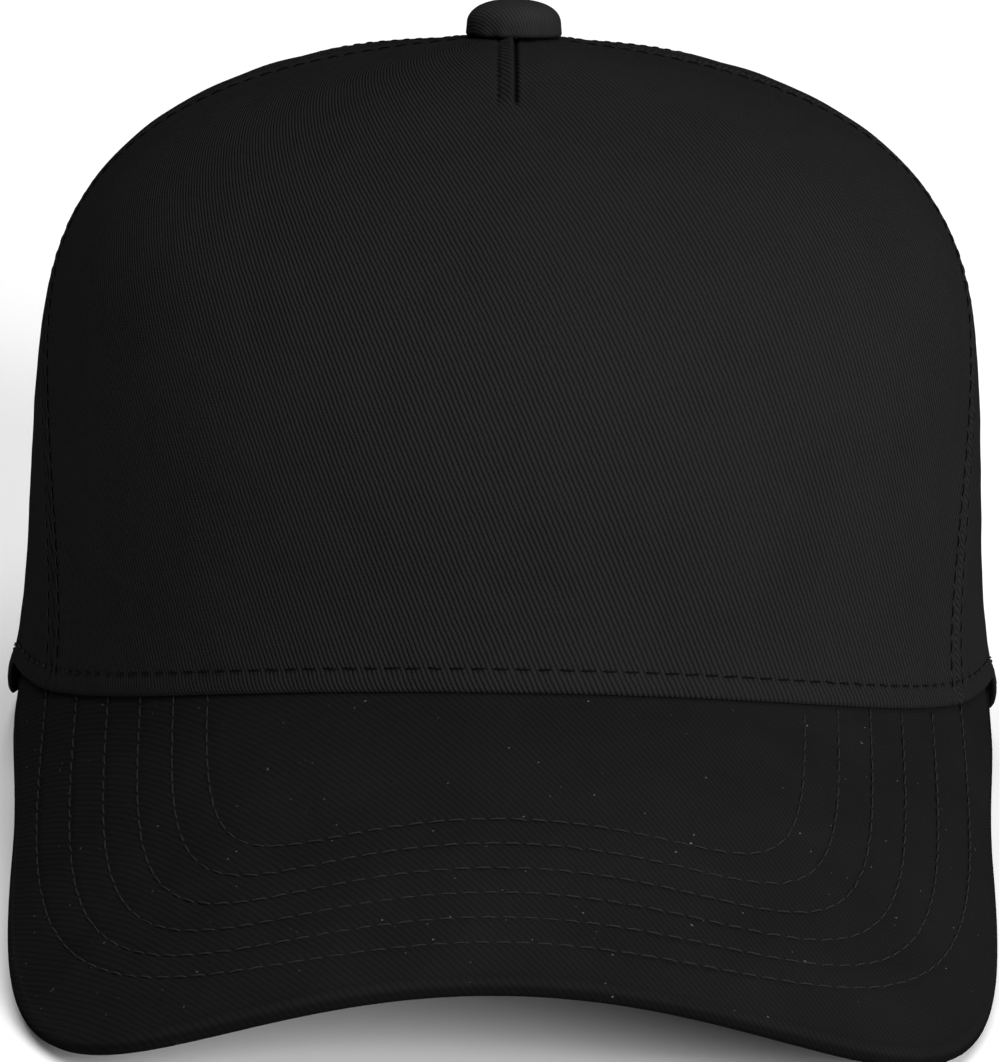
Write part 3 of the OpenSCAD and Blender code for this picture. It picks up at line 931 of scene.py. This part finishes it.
# ---------------------------------------------------------------- rear snap closure
ROOT_X = RIM_W * sind(ARCH_ANGLE) - 3.2
ROOT_ANGLE = math.asin(ROOT_X / STRAP_R)
ROOT_Y = float(layer(180 - ARCH_ANGLE - 1.5, 0.03, 2.05)[1]) - 1.1
ARC_Y = ROOT_Y - STRAP_R * math.cos(ROOT_ANGLE)
TAB_TH = 147.0
TAB = layer(TAB_TH, s_at_height(TAB_TH, 9.4), 3.15)[:2]
NECK = 6.5  # the strap runs this far past its root, to lie against its sewn tab
TIP = STRAP_R * (ROOT_ANGLE + math.radians(1.5 * STUD_PITCH + 3.3))


def strap_point(a, b, centre_r, off):
    """a runs from the root to the tip, b up the strap from its middle, off away from its middle layer."""
    angle = ROOT_ANGLE - np.maximum(a, 0) / STRAP_R
    out = np.stack([np.sin(angle), np.cos(angle)], -1)
    arc = out * centre_r + [0, ARC_Y]
    root_out = np.array([math.sin(ROOT_ANGLE), math.cos(ROOT_ANGLE)])
    root = root_out * centre_r + [0, ARC_Y]
    w = np.clip(-a / NECK, 0, 1)[:, None]
    m0 = NECK * np.array([root_out[1], -root_out[0]])
    m1 = NECK * np.array([0.83, -0.56])
    neck = (2 * w**3 - 3 * w**2 + 1) * root + (w**3 - 2 * w**2 + w) * m0
    neck = neck + (3 * w**2 - 2 * w**3) * TAB + (w**3 - w**2) * m1
    slope = (6 * w**2 - 6 * w) * (root - TAB) + (3 * w**2 - 4 * w + 1) * m0 + (3 * w**2 - 2 * w) * m1
    turned = unit(np.stack([-slope[:, 1], slope[:, 0]], -1))
    back = (a < 0)[:, None]
    xy = np.where(back, neck + turned * off[:, None], arc + out * off[:, None])
    return np.concatenate([xy, (STRAP_Z + STRAP_H / 2 + b)[:, None]], 1)


def rounded_outline(inset, step=0.6):
    """The strap's outline in (a, b): square at the sewn end, a half circle at the tip."""
    r = STRAP_H / 2 - inset
    centre = TIP - STRAP_H / 2
    start = -NECK + inset
    turn = np.linspace(-np.pi / 2, np.pi / 2, max(12, int(np.pi * r / step)))
    tip = np.stack([centre + r * np.cos(turn), r * np.sin(turn)], -1)
    top = np.arange(centre - step, start, -step)
    side = np.stack([top, np.full_like(top, r)], -1)
    end = np.arange(r - step, -r + step / 2, -step)
    sewn = np.stack([np.full_like(end, start), end], -1)
    low = np.stack([top[::-1], np.full_like(top, -r)], -1)
    corners = np.array([[start, r]]), np.array([[start, -r]])
    return np.concatenate([tip, side, corners[0], sewn, corners[1], low])


def strap_plate(name, centre_r, flip, holes):
    """A moulded strap: rounded edges, a raised border, and a rim round each hole or stud."""
    spots = [(STRAP_R * (ROOT_ANGLE - math.radians(STUD_PITCH * (k - 1.5))), 0.0) for k in range(6)]
    points, rings = [], []

    def ring(p):
        rings.append((len(points), len(p)))
        points.extend(map(tuple, p))

    insets = (0.0, 0.1, 0.3, 0.75, 1.05, 1.3)
    for inset in insets:
        ring(rounded_outline(inset))
    turn = np.linspace(0, 2 * np.pi, 40, endpoint=False)
    radii = (HOLE_R, HOLE_R + 0.1, HOLE_R + 0.3, HOLE_R + 0.75, HOLE_R + 1.05) if holes else (3.0, 3.3)
    for a, b in spots:
        for r in radii:
            ring(np.stack([a + r * np.cos(turn), b + r * np.sin(turn)], -1))
    edges = []
    for start, count in rings:
        edges += [(start + k, start + (k + 1) % count) for k in range(count)]
    for a in np.arange(-NECK + 2, TIP - 2, 1.3):
        for b in np.arange(-6.2, 6.3, 1.24):
            past = a - (TIP - STRAP_H / 2)
            if past > 0 and math.hypot(past, b) > STRAP_H / 2 - 1.7:
                continue
            if min(math.hypot(a - c, b - d) for c, d in spots) > radii[-1] + 0.5:
                points.append((a, b))
    flat, _, tris, *_ = delaunay_2d_cdt([Vector(p) for p in points], edges, [], 0, 1e-5)
    flat = np.array([tuple(p) for p in flat])
    mid = np.array([flat[list(t)].mean(0) for t in tris])
    centre = TIP - STRAP_H / 2
    inside = (np.abs(mid[:, 1]) < STRAP_H / 2) & (mid[:, 0] > -NECK)
    inside &= (mid[:, 0] < centre) | (np.hypot(mid[:, 0] - centre, mid[:, 1]) < STRAP_H / 2)
    if holes:
        for a, b in spots:
            inside &= np.hypot(mid[:, 0] - a, mid[:, 1] - b) > HOLE_R * 0.998
    tris = [tuple(t) for t, keep in zip(tris, inside) if keep]

    a, b = flat.T
    past = np.maximum(a - centre, 0)
    edge = STRAP_H / 2 - np.where(past > 0, np.hypot(past, b), np.abs(b))
    edge = np.minimum(edge, a + NECK)
    near = np.min([np.hypot(a - c, b - d) for c, d in spots], axis=0)
    border = 1 - smooth(0.95, 1.25, edge)
    if holes:
        edge = np.minimum(edge, near - HOLE_R)
        border = np.maximum(border, 1 - smooth(HOLE_R + 0.75, HOLE_R + 1.05, near))
    else:
        border = np.maximum(border, 1 - smooth(3.0, 3.3, near))
    round_r = 0.3
    drop = np.clip(1 - edge / round_r, 0, 1)
    half = STRAP_T / 2 - round_r * (1 - np.sqrt(np.maximum(0, 1 - drop**2)))
    half = half - 0.24 * (1 - border) * smooth(0.3, 0.4, edge)
    outer = strap_point(a, b, centre_r, half)
    inner = strap_point(a, b, centre_r, -half)
    count = len(flat)
    faces = [t for t in tris] + [tuple(v + count for v in reversed(t)) for t in tris]
    seen = {}
    for t in tris:
        for k in range(3):
            seen.setdefault(frozenset((t[k], t[(k + 1) % 3])), []).append((t[k], t[(k + 1) % 3]))
    for pairs in seen.values():
        if len(pairs) == 1:
            p, q = pairs[0]
            faces.append((q, p, p + count, q + count))
    points = np.concatenate([outer, inner])
    up = [np.array(points[i]) for i in faces[0][:3]]
    outward = np.cross(up[1] - up[0], up[2] - up[0])[1] > 0
    if outward == flip:
        faces = [tuple(reversed(f)) for f in faces]
    if flip:
        points = mirrored(points)
    return piece(name, points, faces, PLASTIC, body=None)


def bend(obj):
    """Bakes the strap's placement into its mesh."""
    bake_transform(obj)


def strap_studs():
    profile = [(3.0, -0.35), (3.0, 0.0), (2.6, 0.12), (2.0, 0.3), (1.88, 1.1), (1.95, 1.45)]
    profile += [(2.08, 1.7), (2.06, 1.95), (1.85, 2.18), (1.4, 2.3), (0.7, 2.34), (0.0, 2.35)]
    r, h = np.array(profile).T
    turn = np.linspace(0, 2 * np.pi, 48, endpoint=False)
    rr, tt = np.meshgrid(r, turn, indexing="ij")
    hh = np.broadcast_to(h[:, None], rr.shape)
    base_r = STRAP_R - 0.3
    out, faces = [], []
    for k in range(6):
        angle = math.radians(STUD_PITCH * (k - 1.5))
        x, y = math.sin(angle), math.cos(angle)
        side = rr * np.cos(tt)
        p = np.stack([(base_r + hh) * x + side * y, ARC_Y + (base_r + hh) * y - side * x], -1)
        z = STRAP_Z + STRAP_H / 2 + rr * np.sin(tt)
        faces.append(grid_faces(len(r), 48, closed=True)[:, ::-1] + sum(len(o) for o in out))
        out.append(np.concatenate([p, z[..., None]], -1).reshape(-1, 3))
    piece("snap_strap_studs", np.concatenate(out), np.concatenate(faces), PLASTIC, body="stud_strap")


socket = strap_plate("snap_strap_socket_plate", STRAP_R + 0.7, True, True)
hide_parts("snap_strap_socket")
bend(socket)
stud = strap_plate("snap_strap_stud_plate", STRAP_R - 0.9, False, False)
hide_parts("snap_strap_stud")
bend(stud)
strap_studs()
restyle(("strap_tab_left", "strap_tab_right"), PLASTIC)


# ---------------------------------------------------------------- visor
def visor_seam(u):
    x, y = rim_xy(u * TIP_ANGLE)
    return np.stack([SEAM_SCALE * x, APEX_Y + SEAM_SCALE * (y - APEX_Y)], -1)


def outline(angle, width, length, power):
    r = (np.abs(sind(angle) / width) ** power + np.abs(cosd(angle) / length) ** power) ** (-1 / power)
    return np.stack([r * sind(angle), TIP_Y - r * cosd(angle)], -1)


def visor_plan(u, v, inset):
    a = visor_seam(u)
    b = outline(u * 90, VISOR_W - inset, VISOR_L - inset, VISOR_P)
    spread = 1 + VISOR_SPREAD * smooth(60, 90, np.abs(u * 90))
    b = b * np.stack([spread, np.ones_like(spread)], -1)
    tip = np.sqrt(1 - 0.94 * (np.maximum(0, np.abs(u) - 1 + TIP_ROUND) / TIP_ROUND) ** 2)
    return a + (b - a) * (v * tip)[..., None]


def visor_up(p):
    zx = -2 * (DROOP + DROOP_GAIN * (p[..., 1] + 100)) * p[..., 0]
    zy = SLOPE - DROOP_GAIN * p[..., 0] ** 2
    return unit(np.stack([-zx, -zy, np.ones_like(zx)], -1))


def on_visor(p):
    return np.concatenate([p, visor_z(p[..., 0], p[..., 1])[..., None]], -1)


def row_shape(k):
    """Half width, length and squareness of stitch row k, counted from the edge inwards."""
    return VISOR_W - 4.6 - 5.75 * k, VISOR_L - 8.9 - 4.84 * k, 4.0 + 0.55 * k


def row_distance(p, k):
    w, l, q = row_shape(k)
    x, y = np.abs(p[..., 0]) / w, np.maximum(TIP_Y - p[..., 1], 0) / l
    g = np.maximum((x**q + y**q) ** (1 / q), 1e-6)
    dx, dy = (x / g) ** (q - 1) / w, (y / g) ** (q - 1) / l
    return (g - 1) / np.maximum(np.hypot(dx, dy), 1e-6)


def row_relief(p):
    h = np.zeros(p.shape[:-1])
    for k in range(VISOR_ROWS):
        h -= 0.2 * np.exp(-((row_distance(p, k) / 0.55) ** 2))
    return h


EDGE_R = VISOR_T / 2
ROLL_ROWS = 9  # rows of cloth that roll round the edge


def visor_cover(side):
    """One cover: the flat cloth over the board, then rolled round the edge to the edge seam."""
    cols, flat = 261, 118
    u = np.linspace(-1, 1, cols)[None, :]
    v = np.linspace(0, 1, flat)[:, None]
    uu, vv = np.broadcast_arrays(u, v)
    plan = visor_plan(uu, vv, EDGE_R)
    top = on_visor(plan)
    up = visor_up(plan)
    level = 0 if side > 0 else VISOR_T
    relief = row_relief(plan) + 0.06 * waves(top, 21, 14) + 0.12 * waves(top, 22, 45)
    relief *= smooth(0, 0.03, vv)
    lip = 0.25 * np.exp(-((((1 - vv) * 120 - 1.2) / 0.9) ** 2))
    points = top - up * level + side * up * (relief + lip)[..., None]
    edge_mid = top[-1] - up[-1] * EDGE_R
    run = unit(np.gradient(top[-1], axis=0))
    out = unit(np.cross(run, up[-1]))
    far = math.radians(118 if side > 0 else 62)
    rolled = []
    for k in range(1, ROLL_ROWS + 1):
        a = far * k / ROLL_ROWS
        pinch = 1 - 0.16 * smooth(0.75, 1.0, k / ROLL_ROWS)
        rolled.append(edge_mid + EDGE_R * pinch * (out * math.sin(a) + side * up[-1] * math.cos(a)))
    points = np.concatenate([points, np.array(rolled)])
    points[..., 2] = np.maximum(points[..., 2], FLOOR_GAP)
    deep = along(points, 0)
    bow = 2 * DROOP * np.minimum(np.abs(points[..., 0]), 60)
    wide = points[..., 0] * np.sqrt(1 + bow**2 / 3)
    cloth = np.stack([wide, -1.06 * points[..., 1]], -1)
    cloth[flat:, :, 1] = cloth[flat - 1, :, 1] + (deep[flat:] - deep[flat - 1])
    return points, cloth


for name, side in (("visor_top_cover", 1), ("visor_bottom_cover", -1)):
    grid, cloth = visor_cover(side)
    faces = grid_faces(*grid.shape[:2])
    faces = faces[:, ::-1] if side > 0 else faces
    obj = piece(name + "_cloth", grid, faces, VISOR, cloth, replaces=[name])
    # painted shade: the rows rolled round the edge are darkened in the material, because the edge's
    # turned-down face lies in shade
    rolled = np.zeros(grid.shape[:2])
    rolled[-ROLL_ROWS:] = smooth(0, 3, np.arange(ROLL_ROWS))[:, None]
    set_painted_shade(obj, rolled)
    thicken(obj, 0.5)
    cloth_sheet(obj, grid)


def visor_row(k, side):
    w, l, q = row_shape(k)
    p = outline(np.linspace(-89, 89, 500), w, l, q)
    rim = np.hypot(p[:, 0] / (RIM_W + 0.6), (p[:, 1] - RIM_Y) / (RIM_L + 0.6))
    p = p[(rim > 1.004) & (p[:, 1] < TIP_Y - 6)]
    base, up = on_visor(p), visor_up(p)
    if side < 0:
        return base - up * VISOR_T, -up
    return base, up


for side, name in ((1, "visor_stitches_top"), (-1, "visor_stitches_under")):
    runs = [visor_row(k, side) for k in range(VISOR_ROWS)]
    stitches(name, runs, VISOR_PITCH, 2.7, 0.16, VISOR_THREAD, lift=-0.05, seed=6)


def visor_board():
    cols, rows = 81, 14
    u = np.broadcast_to(np.linspace(-0.97, 0.97, cols)[None, :], (rows, cols))
    v = np.broadcast_to(np.linspace(0.05, 1, rows)[:, None], (rows, cols))
    plan = visor_plan(u, v, 1.5)
    top = on_visor(plan) - visor_up(plan) * 0.75
    obj = piece("visor_board_core", top, grid_faces(rows, cols)[:, ::-1], BOARD, replaces=["visor_board"])
    thicken(obj, 1.3)


visor_board()


# ---------------------------------------------------------------- top button
TIP_BACK = math.atan(RISE / ((1 - TAPER[0]) * (RIM_L + APEX_Y - RIM_Y)))


def at_top(points):
    c, s = math.cos(-TIP_BACK), math.sin(-TIP_BACK)
    p = np.asarray(points, float)
    out = np.stack([p[..., 0], c * p[..., 1] - s * p[..., 2], s * p[..., 1] + c * p[..., 2]], -1)
    return out + [0, APEX_Y, TOP_Z]


def button_cover():
    turns, profile = 144, []
    side = 2.1
    for a in np.linspace(90, 4, 22):
        r = BUTTON_R * cosd(a) ** 0.9
        profile.append((r, side + (BUTTON_H - 0.2 - side) * sind(a) ** 0.9))
    for z in np.linspace(side, 0.5, 8)[1:]:
        profile.append((BUTTON_R, z))
    profile += [(BUTTON_R - 0.15, 0.15), (BUTTON_R - 0.7, -0.15), (BUTTON_R - 1.8, -0.2)]
    r, z = np.array(profile).T
    phi = np.linspace(0, 2 * np.pi, turns, endpoint=False)
    rr, pp = np.meshgrid(r, phi, indexing="ij")
    zz = np.broadcast_to(z[:, None], rr.shape)
    low = smooth(side + 0.6, 0.0, zz)
    fold = low * (0.12 * np.cos(pp * 11 + 1) + 0.07 * np.cos(pp * 17))
    rr = rr + fold + 0.05 * waves(np.stack([rr * np.cos(pp), rr * np.sin(pp), zz], -1), 31, 7)
    points = at_top(np.stack([rr * np.cos(pp), rr * np.sin(pp), zz + 0.2], -1))
    reach = np.concatenate([[0], np.cumsum(np.hypot(np.diff(r), np.diff(z)))])
    cloth = np.stack([reach[:, None] * np.cos(pp), reach[:, None] * np.sin(pp)], -1)
    faces = grid_faces(len(r), turns, closed=True)[:, ::-1]
    obj = piece("button_cloth_cover", points, faces, BUTTON, cloth, replaces=["button_cover"])
    thicken(obj, 0.5)


button_cover()
restyle(("button_shell", "button_post", "button_back"), METAL)


# ---------------------------------------------------------------- floor, light, camera
def plain(name, colour, rough):
    m, tree, shader = material(name, "none")
    cloud = noise(tree, object_mm(tree), 0.002, 2.0)
    tree.links.new(ramp(cloud, [(0.3, shade(colour, 0.99)), (0.7, colour)]), shader.inputs["Base Color"])
    shader.inputs["Roughness"].default_value = rough
    return m


def floor():
    size = 4.0
    mesh = bpy.data.meshes.new("floor")
    corners = [(-size, -size, 0), (size, -size, 0), (size, size, 0), (-size, size, 0)]
    mesh.from_pydata(corners, [], [(0, 1, 2, 3)])
    mesh.materials.append(plain("floor_paper", (0.88, 0.88, 0.88), 0.9))
    add_object("floor", mesh)


def area_light(name, at, aim, size, watts):
    data = bpy.data.lights.new(name, "AREA")
    data.shape = "RECTANGLE"
    data.size, data.size_y = size
    data.energy = watts
    obj = add_object(name, data)
    obj.location = at
    obj.rotation_euler = (Vector(aim) - Vector(at)).to_track_quat("-Z", "Y").to_euler()


SENSOR = 36.0
VIEW_SPAN = 0.1817613  # metres across the view's longer side, where the camera aims
VIEW_SHIFT = (-0.001287048, -0.01078245)  # metres the view is moved there


def camera():
    """Placed where the photograph was taken from: 20 degrees above, 1.2 m away, long lens."""
    rise, turn, roll, far = math.radians(20), math.radians(-0.532), math.radians(1.085), 1.2
    aim = Vector((0.0, -30 + Y_SHIFT, 60.0)) * MM
    back = Vector((math.sin(turn) * math.cos(rise), -math.cos(turn) * math.cos(rise), math.sin(rise)))
    right = Vector((math.cos(turn), math.sin(turn), 0))
    data = bpy.data.cameras.new("camera")
    data.sensor_width = SENSOR
    data.lens = SENSOR * far / VIEW_SPAN
    data.shift_x, data.shift_y = (shift / VIEW_SPAN for shift in VIEW_SHIFT)
    data.clip_start, data.clip_end = 0.05, 20
    obj = add_object("camera", data)
    axes = Matrix((right, back.cross(right), back)).transposed()
    turned = axes @ Matrix.Rotation(roll, 3, "Z")
    obj.matrix_world = Matrix.Translation(aim + back * far) @ turned.to_4x4()
    bpy.context.scene.camera = obj


floor()
camera()
area_light("key", (1.35, -1.75, 0.9), (0, 0, 0.06), (1.3, 1.3), 80)
area_light("top", (0.0, 0.3, 2.6), (0, 0.2, 0), (3.0, 3.0), 80)
world = bpy.data.worlds.new("studio")
world.use_nodes = True
world.node_tree.nodes["Background"].inputs[0].default_value = (1, 1, 1, 1)
world.node_tree.nodes["Background"].inputs[1].default_value = 0.1
bpy.context.scene.world = world
bpy.context.scene.view_settings.view_transform = "Standard"
